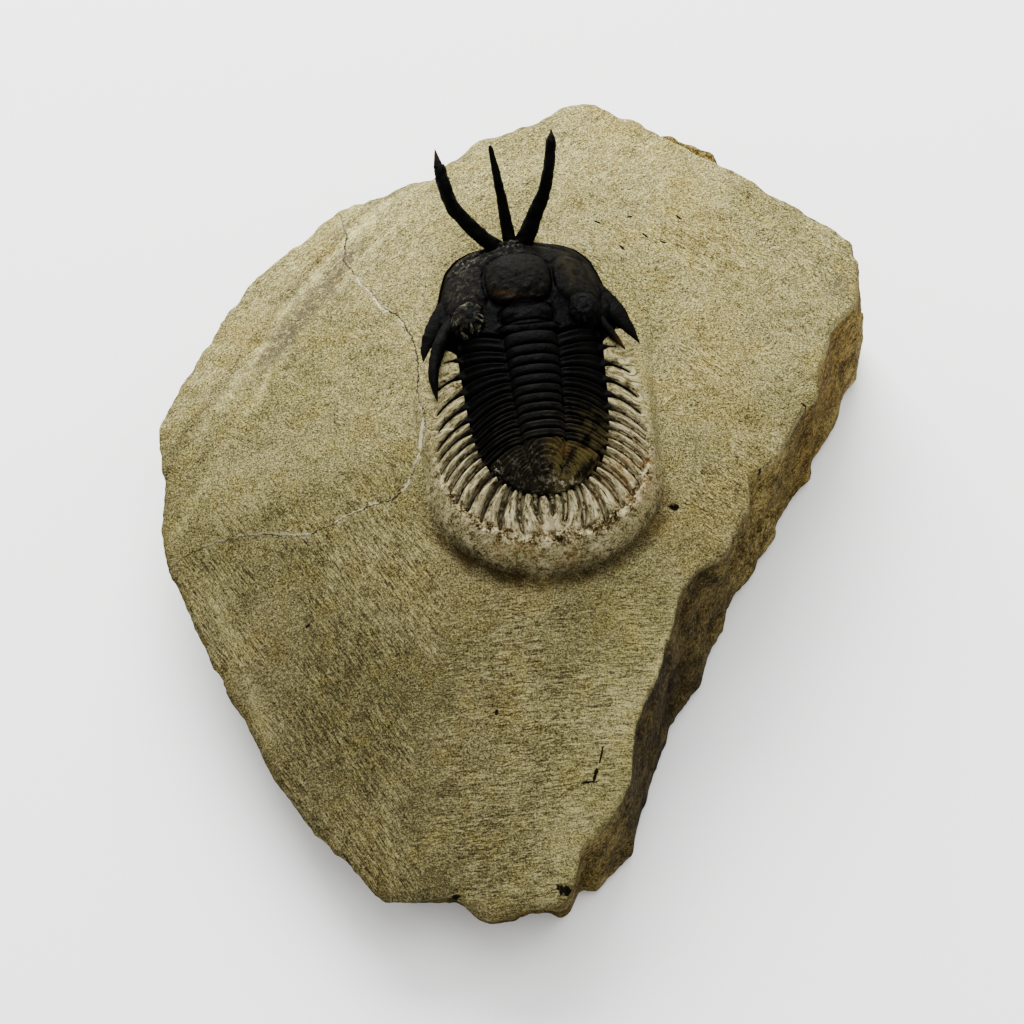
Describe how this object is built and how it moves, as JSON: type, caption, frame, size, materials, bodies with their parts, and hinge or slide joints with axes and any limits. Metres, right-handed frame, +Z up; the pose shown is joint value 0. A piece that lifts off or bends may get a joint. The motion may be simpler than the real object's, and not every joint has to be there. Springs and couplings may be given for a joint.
{
  "type": "trilobite fossil on its stone",
  "caption": "Spiny trilobite with a three-pronged fork on its head, prepared in relief on a loose ground limestone slab with a broken side and a flat underside.",
  "frame": {"origin": "middle of the slab's outline, on the surface that its flat underside rests on", "axes": "+Z up out of the slab, +Y along the trilobite from its tail to its fork, +X to its right-hand side"},
  "size_m": [0.1306, 0.151, 0.0511],
  "materials": {
    "limestone": "ground and air-abraded olive-tan limestone, matt, with a rough broken side stained ochre",
    "black_calcite": "near-black calcite shell, satin, brown where it is thin at the spine tips",
    "brown_calcite": "dark grey to olive-brown calcite shell, satin and slightly translucent"
  },
  "bodies": {
    "root": {"matrix": "limestone", "cephalon": "black_calcite", "thorax_segment_01": "black_calcite", "thorax_segment_02": "black_calcite", "thorax_segment_03": "black_calcite", "thorax_segment_04": "black_calcite", "thorax_segment_05": "black_calcite", "thorax_segment_06": "black_calcite", "thorax_segment_07": "black_calcite", "thorax_segment_08": "black_calcite", "thorax_segment_09": "black_calcite", "thorax_segment_10": "black_calcite", "thorax_segment_11": "black_calcite", "pygidium": "brown_calcite"}
  },
  "joints": []
}
